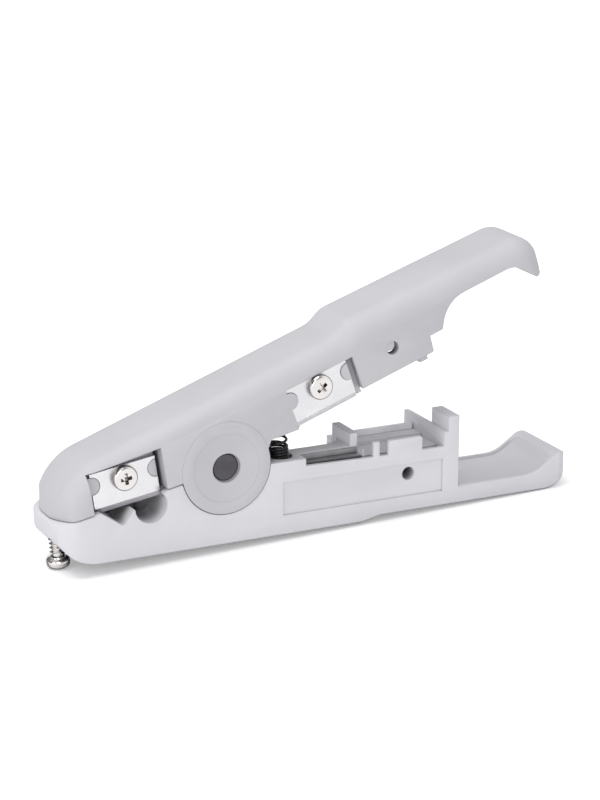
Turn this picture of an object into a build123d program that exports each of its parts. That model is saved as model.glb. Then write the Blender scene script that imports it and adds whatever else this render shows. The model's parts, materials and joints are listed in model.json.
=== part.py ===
from build123d import *
import math
import os

# Hand stripper for network cable: two moulded handles on one pivot pin.
# The origin lies on the base plane straight below the pivot; +X runs to the grips, +Z is up.
# Heights and lengths along a handle are counted from the pivot axis. All sizes in millimetres.

# Overall body
half_width = 9.4
pivot_height = 17.3
squeeze_angle = 20.0
fit_gap = 0.15
touch_gap = 0.02

# Parting face between the two noses
parting_angle = 11.4
parting_drop = 0.2
parting_gap = 0.15

# Pivot
ear_radius = 10.26
ear_proud = 0.12
hub_radius = 7.6
hub_sink = 0.06
boss_radius = 9.6
boss_half_width = 6.1
pin_radius = 3.0
pin_running_gap = 0.06
pin_sink = 0.6
pin_rim_gap = 0.25
pin_rim_depth = 0.9
pin_edge = 0.25

# Lower handle outline
lip_reach = 38.6
lip_edge_radius = 0.35
lip_land = 0.25
lip_lean = 4.0
nose_plan_radius = 5.5
end_bulge = 0.5
belly_end = 32.8
belly_rise = 1.0
belly_ramp = 4.3
belly_radius = 6.0
lower_end_reach = 85.2
lower_end_radius = 6.4
rear_plan_radius = 3.0
rim_height = 9.2
rim_radius = 1.7
rim_width = 2.9
spoon_height = 5.05
spoon_rise_run = 9.0
spoon_blend_radius = 8.0
spoon_crown_radius = 3.0
spoon_root_radius = 1.5
dish_share = 0.75
dish_depth = 0.6
dish_run_in = 2.0
dish_deep_share = 0.55
dish_ramp_share = 0.84
dish_end_radius = 1.5
dish_half_width = 8.2
dish_corner_share = 0.17
bottom_edge_radius = 0.6

# Jaw notches
notch_start = 28.8
notch_vee_reach = 23.7
notch_vee_drop = 9.5
notch_vee_radius = 0.7
notch_peak_reach = 21.35
notch_peak_drop = 6.4
notch_peak_radius = 0.35
notch_peak_fall = 0.6
notch_cup_reach = 17.4
notch_cup_drop = 6.1
notch_cup_radius = 3.7
notch_end = 13.5
blade_slot_clearance = 0.5
blade_slot_past_blade = 2.4
jaw_core_near = 1.0
jaw_core_wall = 2.2
jaw_core_start = 26.0
jaw_core_end = 14.4
jaw_core_floor = 4.0

# Cutting tray on the lower handle
seat_drop = 0.6
seat_end = 18.85
near_wall = 0.9
near_wall_drop = 2.5
near_wall_fall = 0.3
front_tray_floor_drop = 4.6
front_tray_far_edge = 5.5
seat_far_edge = 1.85
seat_far_start = 12.0
seat_far_drop = 6.0
cutter_slot_width = 0.8
anvil_low_drop = 2.0
anvil_high_drop = 0.8
anvil_high_width = 0.5
anvil_groove_width = 0.25
anvil_groove_depth = 0.6
fin_thickness = 1.8
front_fin_gap = 4.8
front_fin_top = 2.3
front_fin_far = 3.2
front_fin_fillet = 6.0
rear_fin_gap = 0.4
rear_fin_thickness = 1.1
rear_fin_top = 0.83
rear_tray_floor_drop = 3.1
rear_tray_slot_width = 0.8
rear_tray_slot_depth = 1.2
rear_tray_slot_middle = 6.3
rear_tray_ledge_drop = 2.35
rear_tray_ledge_edge = 1.2
rear_tray_far_drop = 2.6
land_start_gap = 1.6
land_length = 1.4
tab_thickness = 1.0
narrow_tab_gap = 2.2
narrow_tab_width = 1.5
narrow_tab_top = 0.8
wide_tab_gap = 0.9
wide_tab_width = 8.4
wide_tab_top = 0.7
wide_tab_radius = 0.6
narrow_tab_radius = 0.15
post_length = 2.6
post_width = 7.9
post_top = 4.25

# Label panel and lanyard holes
panel_start = 13.5
panel_end_gap = 0.3
panel_low_height = 4.6
panel_high_drop = 5.3
panel_depth = 0.45
hole_radius = 1.5
lower_hole_run = 9.4
lower_hole_drop = 7.6
upper_hole_run = 8.9
upper_hole_rise = 6.9

# Upper handle outline, drawn as it lies when the handles are squeezed shut
upper_nose_reach = 38.9
upper_nose_radius = 13.5
upper_plan_reach = 37.9
upper_plan_radius = 15.5
front_top = 14.5
top_step_start = 33.5
top_step_end = 37.5
grip_top = 16.35
top_step_radius = 6.0
upper_end_reach = 85.5
upper_end_top = 15.45
hook_radius = 5.6
hook_side_low = 9.3
hook_side_lean = 0.25
hook_tip_reach = 84.0
hook_tip_low = 5.5
hook_tip_inner = 82.4
hook_tip_radius = 0.7
hook_tip_slope = 0.2
grip_underside = 10.85
hook_inner_reach = 78.2
hook_inner_radius = 5.0
finger_reach = 60.0
finger_radius = 7.5
finger_run = 2.9
ledge_length = 3.3
ledge_height = 5.25
ledge_edge_radius = 0.5
upper_wall_lean = 0.3
upper_wall_corner = 0.4
upper_wall_low = 1.5
blade_gap_end = 19.0
blade_gap_low = 0.06
spring_gap_reach = 11.5
spring_gap_rise = 0.9
top_edge_radius = 4.7

# Hollow of the upper handle
side_wall = 2.2
roof_wall = 2.2
rear_wall = 1.0
overlap = 0.5
stub_run = 3.2
stub_length = 2.0
stub_width = 2.0
stub_low = 0.2
rib_gap = 0.6
rib_thickness = 1.1
rib_low = 0.3
rib_set_back = 1.7
rib_depth = 4.5
spring_seat_height = 4.0
spring_seat_start = 11.2
spring_seat_length = 8.0
web_low = 2.5
web_thickness = 3.2

# Blades
blade_half_length = 7.5
blade_thickness = 0.8
blade_edge_drop = 6.5
blade_top_rise = 2.7
blade_bevel_height = 1.3
blade_edge_land = 0.1
blade_notch_radius = 2.05
blade_boss_gap = 0.1
blade_hole_gap = 0.15
pocket_fit = 0.1
stripping_reach = 22.68
stripping_rise = 0.55
stripping_tilt = 8.7
stripping_set_back = 2.2
stripping_pocket_top_front = 3.1
stripping_pocket_top_rear = 4.7
pocket_end_gap = 0.95
pocket_side_slot_depth = 5.0
cutter_reach = 25.9
cutter_rise = 6.8
cutter_set_back = 0.3

# Blade screws
screw_head_radius = 2.75
screw_head_height = 1.5
screw_head_edge = 0.6
screw_shank_radius = 1.25
screw_shank_length = 6.0
cross_span = 3.0
cross_width = 0.7
cross_depth = 0.9
screw_boss_radius = 3.2

# Depth screw under the nose
depth_screw_reach = 35.3
depth_screw_height = 2.3
depth_screw_lean = 5.0
depth_screw_radius = 1.5
depth_screw_gap = 0.06
depth_screw_tip_below = 0.6
depth_head_radius = 2.55
depth_head_height = 2.2
depth_head_dome = 1.1
depth_head_below = 2.7
depth_slot_width = 0.8
depth_slot_depth = 0.8

# Return spring
spring_reach = 14.8
spring_offset = 4.9
spring_coil_radius = 2.0
spring_wire_radius = 0.3
spring_turns = 6.5
spring_recess_gap = 0.35
spring_recess_depth = 3.0
spring_top_gap = 0.25

# Flat blades at the rear of the jaws
flat_blade_end_gap = 1.1
flat_blade_length = 14.4
flat_blade_drop = 0.92
flat_blade_height = 2.6
flat_blade_thickness = 0.6
flat_blade_offset = 5.0
upper_flat_gap = 0.35
upper_flat_thickness = 1.2
upper_flat_inset = 4.0
upper_flat_hold = 2.5

# Planes: seen from the near side, X to the rear, Y up and Z towards the viewer
squeeze = math.radians(squeeze_angle)
lower_view = Plane(origin=(0, 0, pivot_height), x_dir=(1, 0, 0), z_dir=(0, -1, 0))
upper_view = Plane(
    origin=(0, 0, pivot_height),
    x_dir=(math.cos(squeeze), 0, math.sin(squeeze)),
    z_dir=(0, -1, 0),
)
parting = math.radians(parting_angle)
parting_slope = math.tan(parting)


def parting_height(reach):
    """Height of the lower parting face at a place along the lower handle."""
    return -parting_drop + parting_slope * reach


def blade_plane(view, reach, rise, tilt, set_back):
    """Plane on the outer face of a blade, with its origin at the blade's screw."""
    centre = view.from_local_coords((reach, rise, half_width - set_back))
    lean = math.atan2(view.x_dir.Z, view.x_dir.X) + math.radians(tilt)
    return Plane(origin=centre, x_dir=(math.cos(lean), 0, math.sin(lean)), z_dir=(0, -1, 0))


stripping_face = blade_plane(
    lower_view, -stripping_reach, stripping_rise, stripping_tilt, stripping_set_back
)
cutter_face = blade_plane(upper_view, cutter_reach, cutter_rise, 0, cutter_set_back)
pocket_top_fall = (stripping_pocket_top_rear - stripping_pocket_top_front) * (
    pocket_end_gap / (2 * (blade_half_length + pocket_end_gap))
)
hollow_half_width = half_width - side_wall
hollow_roof = front_top - roof_wall
ear_inner = boss_half_width + fit_gap
recess_radius = ear_radius + fit_gap

# Heights of the lower handle, counted from its base
lip_height = pivot_height + parting_height(-lip_reach)
lip_angle = math.radians(lip_lean)
lower_nose_radius = (lip_height / math.cos(lip_angle) - lip_edge_radius - lip_land) / math.tan(
    (math.pi / 2 - lip_angle) / 2
)
rim_drop = pivot_height - rim_height
spoon_drop = pivot_height - spoon_height
panel_low_drop = pivot_height - panel_low_height
depth_screw_drop = pivot_height - depth_screw_height

# Lengths behind the jaws, counted from the finger rest
ledge_rear = finger_reach - finger_run
ledge_front = ledge_rear - ledge_length
upper_wall_end = ledge_front - upper_wall_lean
hollow_end = upper_wall_end - rear_wall
flat_blade_start = upper_wall_end - flat_blade_end_gap - flat_blade_length
rear_fin_start = flat_blade_start + flat_blade_length + rear_fin_gap
post_start = rear_fin_start + rear_fin_thickness
front_fin_end = flat_blade_start - front_fin_gap
front_fin_start = front_fin_end - fin_thickness
front_tray_end = front_fin_start + land_start_gap
narrow_tab_start = front_tray_end + narrow_tab_gap
wide_tab_start = flat_blade_start + wide_tab_gap
panel_end = rear_fin_start - panel_end_gap
spoon_rise_start = lower_end_reach - spoon_rise_run
rib_start = cutter_reach + blade_half_length + rib_gap


# Depth screw axis: it leans, with its head nearer to the rear than its tip
lean = math.radians(depth_screw_lean)
screw_up = Vector(-math.sin(lean), 0, math.cos(lean))
screw_point = lower_view.from_local_coords((-depth_screw_reach, -depth_screw_drop, 0))
tip_run = (
    parting_height(-depth_screw_reach) + depth_screw_drop
) / (math.cos(lean) + parting_slope * math.sin(lean)) - depth_screw_tip_below
head_run = (depth_screw_height + depth_head_below - depth_head_height) / math.cos(lean)
head_plane = Plane(
    origin=screw_point - screw_up * head_run,
    x_dir=(math.cos(lean), 0, math.sin(lean)),
    z_dir=screw_up,
)


# Thumb dish: shallow floor of the spoon, then parallel to the ramp, running out below the rim
ramp_run = spoon_rise_run - rim_width
ramp_rise = spoon_drop - rim_drop
ramp = math.atan2(ramp_rise, ramp_run)
dish_length = dish_share * (spoon_rise_start - post_start - post_length)
dish_start = spoon_rise_start - dish_length
dish_end = spoon_rise_start + dish_ramp_share * ramp_run
with BuildPart() as thumb_dish:
    with BuildSketch(lower_view) as dish_side:
        with BuildLine():
            FilletPolyline(
                (dish_start, -rim_drop),
                (dish_start, -spoon_drop),
                (dish_start + dish_run_in, -spoon_drop - dish_depth),
                (spoon_rise_start + dish_depth * math.tan(ramp / 2), -spoon_drop - dish_depth),
                (
                    spoon_rise_start + dish_deep_share * ramp_run + dish_depth * math.sin(ramp),
                    -spoon_drop + dish_deep_share * ramp_rise - dish_depth * math.cos(ramp),
                ),
                (dish_end, -spoon_drop + dish_ramp_share * ramp_rise),
                (dish_end, -rim_drop),
                radius=[0, 0, dish_run_in, spoon_blend_radius, dish_end_radius, 0, 0],
                close=True,
            )
        make_face()
    extrude(amount=dish_half_width, both=True)
    with BuildSketch(Plane.XY) as dish_plan:
        with Locations(((dish_start + dish_end) / 2, 0)):
            RectangleRounded(dish_end - dish_start, 2 * dish_half_width, dish_corner_share * dish_length)
    extrude(amount=pivot_height, mode=Mode.INTERSECT)


# Lower handle
with BuildPart() as lower_handle:
    with BuildSketch(lower_view) as side_outline:
        with BuildLine():
            FilletPolyline(
                (-lip_reach, parting_height(-lip_reach)),
                (lip_height * math.tan(lip_angle) - lip_reach, -pivot_height),
                (belly_end, -pivot_height),
                (belly_end + belly_ramp, -pivot_height + belly_rise),
                (lower_end_reach, -pivot_height + belly_rise),
                (lower_end_reach, -rim_drop),
                (lower_end_reach - rim_width, -rim_drop),
                (spoon_rise_start, -spoon_drop),
                (post_start, -spoon_drop),
                (post_start, rear_fin_top),
                (rear_fin_start, rear_fin_top),
                (rear_fin_start, -seat_drop),
                ((parting_drop - seat_drop) / parting_slope, -seat_drop),
                radius=[lip_edge_radius, lower_nose_radius, belly_radius, belly_radius, lower_end_radius,
                        rim_radius, spoon_crown_radius, spoon_blend_radius, spoon_root_radius, 0, 0, 0, 0],
                close=True,
            )
        make_face()
    extrude(amount=half_width, both=True)
    belly_edges = lower_handle.edges().filter_by(
        lambda edge: edge.bounding_box().max.Z < 1.5 * belly_rise and edge.bounding_box().size.X > 1
    )
    fillet(belly_edges.filter_by(lambda edge: edge.bounding_box().size.Y < 1), bottom_edge_radius)
    with BuildSketch(Plane.XY) as plan_outline:
        with BuildLine():
            near_side = Line((end_bulge - lip_reach, -half_width), (lower_end_reach - end_bulge, -half_width))
            far_side = Line((lower_end_reach - end_bulge, half_width), (end_bulge - lip_reach, half_width))
            ThreePointArc(near_side @ 1, (lower_end_reach, 0), far_side @ 0)
            ThreePointArc(far_side @ 1, (-lip_reach, 0), near_side @ 0)
        make_face()
        fillet(plan_outline.vertices().group_by(Axis.X)[0], nose_plan_radius)
        fillet(plan_outline.vertices().group_by(Axis.X)[-1], rear_plan_radius)
    extrude(amount=2 * pivot_height, both=True, mode=Mode.INTERSECT)

    # Pivot boss between the ears, and the round recesses that the ears turn in
    with BuildSketch(lower_view) as boss_circle:
        Circle(boss_radius)
    extrude(amount=boss_half_width, both=True)
    for side in (1, -1):
        with BuildSketch(lower_view.offset(side * boss_half_width)) as ear_recess:
            Circle(recess_radius)
        extrude(amount=side * half_width, mode=Mode.SUBTRACT)
    with BuildSketch(lower_view) as pin_hole:
        Circle(pin_radius + touch_gap / 2)
    extrude(amount=half_width, both=True, mode=Mode.SUBTRACT)

    # The vee notch and the cup notch, right through the jaw
    with BuildSketch(lower_view) as notches:
        with BuildLine():
            vee = FilletPolyline(
                (-notch_start, 0),
                (-notch_start, parting_height(-notch_start)),
                (-notch_vee_reach, -notch_vee_drop),
                (-notch_peak_reach, -notch_peak_drop),
                (-notch_cup_reach, -notch_peak_drop + notch_peak_fall),
                (-notch_end, parting_height(-notch_end)),
                (-notch_end, 0),
                radius=[0, notch_vee_radius, notch_peak_radius, 0, 0],
            )
            Line(vee @ 1, vee @ 0)
        make_face()
        with Locations((-notch_cup_reach, -notch_cup_drop)):
            Circle(notch_cup_radius)
    extrude(amount=half_width, both=True, mode=Mode.SUBTRACT)

    # Slot that the stripping blade drops into, behind the near rim of the notches
    with BuildSketch(stripping_face.offset(blade_slot_clearance / 2)) as blade_slot:
        with Locations(((blade_slot_past_blade - blade_slot_clearance) / 2, 0)):
            Rectangle(
                2 * blade_half_length + blade_slot_past_blade + blade_slot_clearance,
                2 * (blade_edge_drop + blade_slot_clearance),
            )
    extrude(amount=-(blade_thickness + blade_slot_clearance), mode=Mode.SUBTRACT)

    # The far half of the jaw is cored out below the notches
    with BuildSketch(lower_view.offset(jaw_core_near)) as jaw_core:
        with Locations((-(jaw_core_start + jaw_core_end) / 2, -(pivot_height - jaw_core_floor) / 2)):
            Rectangle(jaw_core_start - jaw_core_end, pivot_height - jaw_core_floor)
    extrude(amount=-(jaw_core_near + half_width - jaw_core_wall), mode=Mode.SUBTRACT)

    # Front tray: a near wall that is cut down, and a slot for the cutter blade beside the anvil
    with BuildSketch(lower_view.offset(half_width)) as near_wall_cut:
        with BuildLine():
            Polyline(
                (seat_end, 0),
                (seat_end, near_wall_fall - near_wall_drop),
                (narrow_tab_start - land_length, -near_wall_drop),
                (rear_fin_start, -near_wall_drop),
                (rear_fin_start, 0),
                close=True,
            )
        make_face()
    extrude(amount=-near_wall, mode=Mode.SUBTRACT)
    tray_top = Plane.XY.offset(pivot_height)
    with BuildSketch(tray_top) as front_tray:
        with BuildLine():
            Polyline(
                (seat_end, -half_width + near_wall),
                (front_tray_end, -half_width + near_wall),
                (front_tray_end + land_length, -front_tray_far_edge),
                (seat_end, -front_tray_far_edge),
                close=True,
            )
        make_face()
    extrude(amount=-front_tray_floor_drop, mode=Mode.SUBTRACT)

    # The seat ends near the middle; its edge sweeps out to the far end of the front fin
    with BuildSketch(tray_top) as far_room:
        with BuildLine():
            FilletPolyline(
                (seat_far_start, half_width),
                (seat_far_start, -seat_far_edge),
                (front_fin_start, -seat_far_edge),
                (front_fin_start, front_fin_far),
                (front_fin_end, front_fin_far),
                (front_fin_end, half_width),
                radius=[0, 0, front_fin_fillet - seat_far_edge, 0, 0, 0],
                close=True,
            )
        make_face()
    extrude(amount=-seat_far_drop, mode=Mode.SUBTRACT)

    # Rear tray: a floor with a long slot, a ledge that holds the flat blade and a lower far edge
    rear_tray_length = rear_fin_start - front_fin_end
    rear_tray_middle = (rear_fin_start + front_fin_end) / 2
    for low_edge, high_edge, drop in (
        (-half_width + near_wall, rear_tray_ledge_edge, rear_tray_floor_drop),
        (rear_tray_ledge_edge, flat_blade_offset + flat_blade_thickness, rear_tray_ledge_drop),
        (flat_blade_offset + flat_blade_thickness, half_width, rear_tray_far_drop),
    ):
        with BuildSketch(tray_top) as tray_cut:
            with Locations((rear_tray_middle, (low_edge + high_edge) / 2)):
                Rectangle(rear_tray_length, high_edge - low_edge)
        extrude(amount=-drop, mode=Mode.SUBTRACT)
    with BuildSketch(tray_top.offset(-rear_tray_floor_drop)) as long_slot:
        with Locations((rear_tray_middle, -rear_tray_slot_middle)):
            Rectangle(rear_tray_length, rear_tray_slot_width)
    extrude(amount=-rear_tray_slot_depth, mode=Mode.SUBTRACT)
    with BuildSketch(tray_top) as blade_groove:
        with Locations((flat_blade_start + flat_blade_length / 2, flat_blade_offset + flat_blade_thickness / 2)):
            Rectangle(flat_blade_length + 2 * touch_gap, flat_blade_thickness + 2 * touch_gap)
    extrude(amount=-flat_blade_drop - flat_blade_height - touch_gap, mode=Mode.SUBTRACT)

    # Front fin, on the seat beside the tray
    with BuildSketch(lower_view.offset(front_tray_far_edge)) as front_fin:
        with BuildLine():
            Polyline(
                (front_fin_end, -seat_far_drop),
                (front_fin_end, front_fin_top),
                (front_fin_start, front_fin_top),
                (front_fin_start, -seat_far_drop),
                close=True,
            )
        make_face()
    extrude(amount=-(front_tray_far_edge + front_fin_far))

    # Tabs that stand on the near wall
    with BuildSketch(lower_view.offset(half_width)) as tabs:
        for start, width, top, corner in (
            (narrow_tab_start, narrow_tab_width, narrow_tab_top, narrow_tab_radius),
            (wide_tab_start, wide_tab_width, wide_tab_top, wide_tab_radius),
        ):
            with BuildLine():
                FilletPolyline(
                    (start, -front_tray_floor_drop),
                    (start, top),
                    (start + width, top),
                    (start + width, -front_tray_floor_drop),
                    radius=[0, corner, corner, 0],
                    close=True,
                )
            make_face()
    extrude(amount=-tab_thickness)

    # Post at the near rear corner of the tray, and a block that squares the fin's rounded edge beside it
    post_foot_drop = spoon_drop + bottom_edge_radius
    for start, length, top in (
        (post_start, post_length, post_top),
        (post_start - bottom_edge_radius, bottom_edge_radius, rear_fin_top),
    ):
        with BuildSketch(tray_top.offset(top)) as post_plan:
            with Locations((start + length / 2, (post_width - 2 * half_width) / 2)):
                Rectangle(length, post_width)
        extrude(amount=-(post_foot_drop + top))

    # Thumb dish in the spoon, running on up the ramp to the rim
    add(thumb_dish.part, mode=Mode.SUBTRACT)

    # Label panel, lanyard hole, spring recess and the depth screw's thread hole
    with BuildSketch(lower_view.offset(half_width)) as panel:
        with Locations(((panel_start + panel_end) / 2, -(panel_low_drop + panel_high_drop) / 2)):
            Rectangle(panel_end - panel_start, panel_low_drop - panel_high_drop)
    extrude(amount=-panel_depth, mode=Mode.SUBTRACT)
    with BuildSketch(lower_view) as lower_hole:
        with Locations((upper_wall_end - lower_hole_run, -lower_hole_drop)):
            Circle(hole_radius)
    extrude(amount=half_width, both=True, mode=Mode.SUBTRACT)
    with BuildSketch(tray_top.offset(-seat_drop)) as spring_recess:
        with Locations((spring_reach, -spring_offset)):
            Circle(spring_coil_radius + spring_wire_radius + spring_recess_gap)
    extrude(amount=-spring_recess_depth, mode=Mode.SUBTRACT)
    with BuildSketch(head_plane) as thread_hole:
        Circle(depth_screw_radius + depth_screw_gap)
    extrude(amount=2 * pivot_height, mode=Mode.SUBTRACT)
lower_handle.part.label = "lower_handle"


# Upper handle
with BuildPart() as upper_handle:
    with BuildSketch(upper_view) as upper_outline:
        with BuildLine():
            FilletPolyline(
                (-upper_nose_reach, -upper_nose_radius),
                (-upper_nose_reach, front_top),
                (top_step_start, front_top),
                (top_step_end, grip_top),
                (upper_end_reach, upper_end_top),
                (upper_end_reach - hook_side_lean, hook_side_low),
                (hook_tip_reach, hook_tip_low),
                (hook_tip_inner, hook_tip_low + hook_tip_slope),
                (hook_inner_reach, grip_underside),
                (finger_reach, grip_underside),
                (ledge_rear, ledge_height),
                (ledge_front, ledge_height),
                (upper_wall_end, upper_wall_low),
                (blade_gap_end, upper_wall_low),
                (blade_gap_end, -blade_gap_low),
                (spring_gap_reach, spring_gap_rise),
                (0, -upper_nose_radius),
                radius=[0, upper_nose_radius, top_step_radius, top_step_radius, hook_radius, 0, hook_tip_radius,
                        hook_tip_radius, hook_inner_radius, finger_radius, ledge_edge_radius, 0,
                        upper_wall_corner, 0, 0, 0, 0],
                close=True,
            )
        make_face()
    extrude(amount=half_width, both=True)
    nose_arcs = upper_handle.edges().filter_by(GeomType.CIRCLE).filter_by(
        lambda edge: abs(edge.radius - upper_nose_radius) < 0.01
    )
    fillet(nose_arcs, top_edge_radius)

    # Everything below the parting face belongs to the lower handle
    with BuildSketch(lower_view) as below_parting:
        with BuildLine():
            Polyline(
                (-2 * lip_reach, parting_height(-2 * lip_reach) + parting_gap),
                (0, parting_height(0) + parting_gap),
                (spring_gap_reach, -parting_drop),
                (spring_gap_reach, -2 * pivot_height),
                (-2 * lip_reach, -2 * pivot_height),
                close=True,
            )
        make_face()
    extrude(amount=half_width, both=True, mode=Mode.SUBTRACT)

    # The nose is bowed across the front, seen from above
    with BuildSketch(Plane.XY) as nose_bow:
        with Locations((upper_plan_radius - upper_plan_reach, 0)):
            Circle(upper_plan_radius)
        with Locations((upper_plan_radius - upper_plan_reach + upper_end_reach, 0)):
            Rectangle(2 * upper_end_reach, 4 * half_width)
    extrude(amount=2 * upper_end_reach, mode=Mode.INTERSECT)

    # Ears of the pivot, a hair proud of the sides
    with BuildSketch(upper_view) as ear_disc:
        Circle(ear_radius)
    extrude(amount=half_width + ear_proud, both=True)
    for side in (1, -1):
        with BuildSketch(upper_view.offset(side * (half_width + ear_proud))) as hub_face:
            Circle(hub_radius)
        extrude(amount=-side * hub_sink, mode=Mode.SUBTRACT)

    # Hollow underneath: round for the pivot boss, then long for the trays of the lower handle
    with BuildSketch(upper_view) as boss_room:
        Circle(recess_radius)
        with Locations((seat_end / 2, 0)):
            Rectangle(seat_end, 2 * boss_radius)
    extrude(amount=ear_inner, both=True, mode=Mode.SUBTRACT)
    with BuildSketch(upper_view) as long_room:
        with Locations(((boss_radius + hollow_end) / 2, (hollow_roof - boss_radius) / 2)):
            Rectangle(hollow_end - boss_radius, hollow_roof + boss_radius)
    extrude(amount=hollow_half_width, both=True, mode=Mode.SUBTRACT)

    # Spring seat, the rib behind the cutter blade, the stub and the web of the flat blade
    with BuildSketch(upper_view) as spring_seat:
        with BuildLine():
            Polyline(
                (spring_seat_start, spring_seat_height),
                (spring_seat_start + spring_seat_length, spring_seat_height),
                (spring_seat_start + spring_seat_length, hollow_roof + overlap),
                (spring_seat_start, hollow_roof + overlap),
                close=True,
            )
        make_face()
    extrude(amount=hollow_half_width + overlap, both=True)
    with BuildSketch(upper_view.offset(half_width - rib_set_back)) as rib:
        with Locations((rib_start + rib_thickness / 2, (rib_low + hollow_roof + overlap) / 2)):
            Rectangle(rib_thickness, hollow_roof + overlap - rib_low)
    extrude(amount=-rib_depth)
    with BuildSketch(upper_view.offset(hollow_half_width + overlap)) as stub:
        with Locations((upper_wall_end - stub_run + stub_length / 2, (ledge_height - stub_low) / 2)):
            Rectangle(stub_length, ledge_height + stub_low)
    extrude(amount=-stub_width - overlap)
    flat_blade_middle = half_width - upper_flat_inset
    with BuildSketch(upper_view.offset(-hollow_half_width - overlap)) as web:
        with Locations((flat_blade_start + flat_blade_length / 2, (web_low + hollow_roof + overlap) / 2)):
            Rectangle(flat_blade_length, hollow_roof + overlap - web_low)
    extrude(amount=web_thickness + overlap)
    with BuildSketch(upper_view.offset(-flat_blade_middle)) as web_slot:
        with Locations((flat_blade_start + flat_blade_length / 2, web_low + upper_flat_hold / 2)):
            Rectangle(flat_blade_length, upper_flat_hold)
    extrude(amount=-upper_flat_thickness, mode=Mode.SUBTRACT)

    # Screw boss behind the cutter blade
    with BuildSketch(cutter_face.offset(-blade_thickness)) as screw_boss:
        Circle(screw_boss_radius)
    extrude(amount=-screw_shank_length - overlap)

    # Stripping blade pocket: a locating boss level with the blade at each end, a deep slot at the rear
    pocket_end = blade_half_length + pocket_end_gap
    boss_size = blade_notch_radius - blade_boss_gap
    for level, amount, bossed in ((0, half_width, False), (-blade_thickness, blade_thickness, True)):
        with BuildSketch(stripping_face.offset(level)) as stripping_pocket:
            with BuildLine():
                Polyline(
                    (-pocket_end, -2 * blade_edge_drop),
                    (pocket_end, -2 * blade_edge_drop),
                    (pocket_end, stripping_pocket_top_rear),
                    (-pocket_end, stripping_pocket_top_front),
                    close=True,
                )
            make_face()
            if bossed:
                with Locations((-blade_half_length, 0), (blade_half_length, 0)):
                    Circle(boss_size, mode=Mode.SUBTRACT)
                with Locations((-blade_half_length - pocket_end_gap / 2, 0)):
                    Rectangle(pocket_end_gap, 2 * boss_size, mode=Mode.SUBTRACT)
                with Locations((blade_half_length + pocket_end_gap / 2, 0)):
                    Rectangle(pocket_end_gap, 2 * boss_size)
        extrude(amount=amount, mode=Mode.SUBTRACT)
    with BuildSketch(stripping_face.offset(stripping_set_back)) as side_slot:
        with BuildLine():
            Polyline(
                (blade_half_length, -2 * blade_edge_drop),
                (pocket_end, -2 * blade_edge_drop),
                (pocket_end, stripping_pocket_top_rear),
                (blade_half_length, stripping_pocket_top_rear - pocket_top_fall),
                close=True,
            )
        make_face()
    extrude(amount=-pocket_side_slot_depth, mode=Mode.SUBTRACT)

    # Cutter blade pocket, open at its rear end to the rib
    with BuildSketch(cutter_face.offset(-blade_thickness)) as cutter_pocket:
        with Locations((0, (blade_top_rise - 2 * blade_edge_drop) / 2)):
            Rectangle(2 * (blade_half_length + pocket_fit), blade_top_rise + pocket_fit + 2 * blade_edge_drop)
        with Locations((-blade_half_length, 0), (blade_half_length, 0)):
            Circle(blade_notch_radius - blade_boss_gap, mode=Mode.SUBTRACT)
    extrude(amount=blade_thickness + half_width, mode=Mode.SUBTRACT)
    slit_start = cutter_reach + blade_half_length
    with BuildSketch(upper_view.offset(half_width)) as slit:
        with Locations(((slit_start + rib_start + rib_thickness) / 2, cutter_rise + blade_top_rise - half_width)):
            Rectangle(rib_start + rib_thickness - slit_start, 2 * half_width)
    extrude(amount=-rib_set_back, mode=Mode.SUBTRACT)

    # Holes: pivot, lanyard and the two blade screws
    with BuildSketch(upper_view) as pivot_hole:
        Circle(pin_radius + pin_running_gap)
    extrude(amount=2 * half_width, both=True, mode=Mode.SUBTRACT)
    for side in (1, -1):
        with BuildSketch(upper_view.offset(side * (half_width + ear_proud))) as pin_rim:
            Circle(pin_radius + pin_rim_gap)
        extrude(amount=-side * pin_rim_depth, mode=Mode.SUBTRACT)
    with BuildSketch(upper_view) as upper_hole:
        with Locations((upper_wall_end - upper_hole_run, upper_hole_rise)):
            Circle(hole_radius)
    extrude(amount=half_width, both=True, mode=Mode.SUBTRACT)
    for face in (stripping_face, cutter_face):
        with BuildSketch(face) as screw_hole:
            Circle(screw_shank_radius + touch_gap)
        extrude(amount=-blade_thickness - screw_shank_length, mode=Mode.SUBTRACT)
upper_handle.part.label = "upper_handle"


# Pivot pin
with BuildPart() as pivot_pin:
    with BuildSketch(lower_view) as pin_circle:
        Circle(pin_radius)
    extrude(amount=half_width - pin_sink, both=True)
    chamfer(pivot_pin.edges().filter_by(GeomType.CIRCLE), pin_edge)
pivot_pin.part.label = "pivot_pin"


# Return spring, standing in its recess
spring_foot = pivot_height - seat_drop - spring_recess_depth
seat_at_spring = (
    spring_seat_height + (spring_reach - spring_coil_radius - spring_wire_radius) * math.sin(squeeze)
) / math.cos(squeeze)
spring_top = pivot_height + seat_at_spring - spring_top_gap
spring_height = spring_top - spring_foot - 2 * spring_wire_radius
with BuildPart() as return_spring:
    with BuildLine(Plane(origin=(spring_reach, -spring_offset, spring_foot + spring_wire_radius))) as coil:
        Helix(pitch=spring_height / spring_turns, height=spring_height, radius=spring_coil_radius)
    with BuildSketch(Plane(origin=coil.line @ 0, z_dir=coil.line % 0)) as wire:
        Circle(spring_wire_radius)
    sweep(is_frenet=True)
return_spring.part.label = "return_spring"


# The two blades are alike: bevelled edge, half-round notch at each end, one screw hole
def blade_sketch(face):
    """Flat outline of a blade on its outer face."""
    with BuildSketch(face) as outline:
        with Locations((0, (blade_top_rise - blade_edge_drop) / 2)):
            Rectangle(2 * blade_half_length, blade_top_rise + blade_edge_drop)
        with Locations((-blade_half_length, 0), (blade_half_length, 0)):
            Circle(blade_notch_radius, mode=Mode.SUBTRACT)
        Circle(screw_shank_radius + blade_hole_gap, mode=Mode.SUBTRACT)
    return outline.sketch


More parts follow.
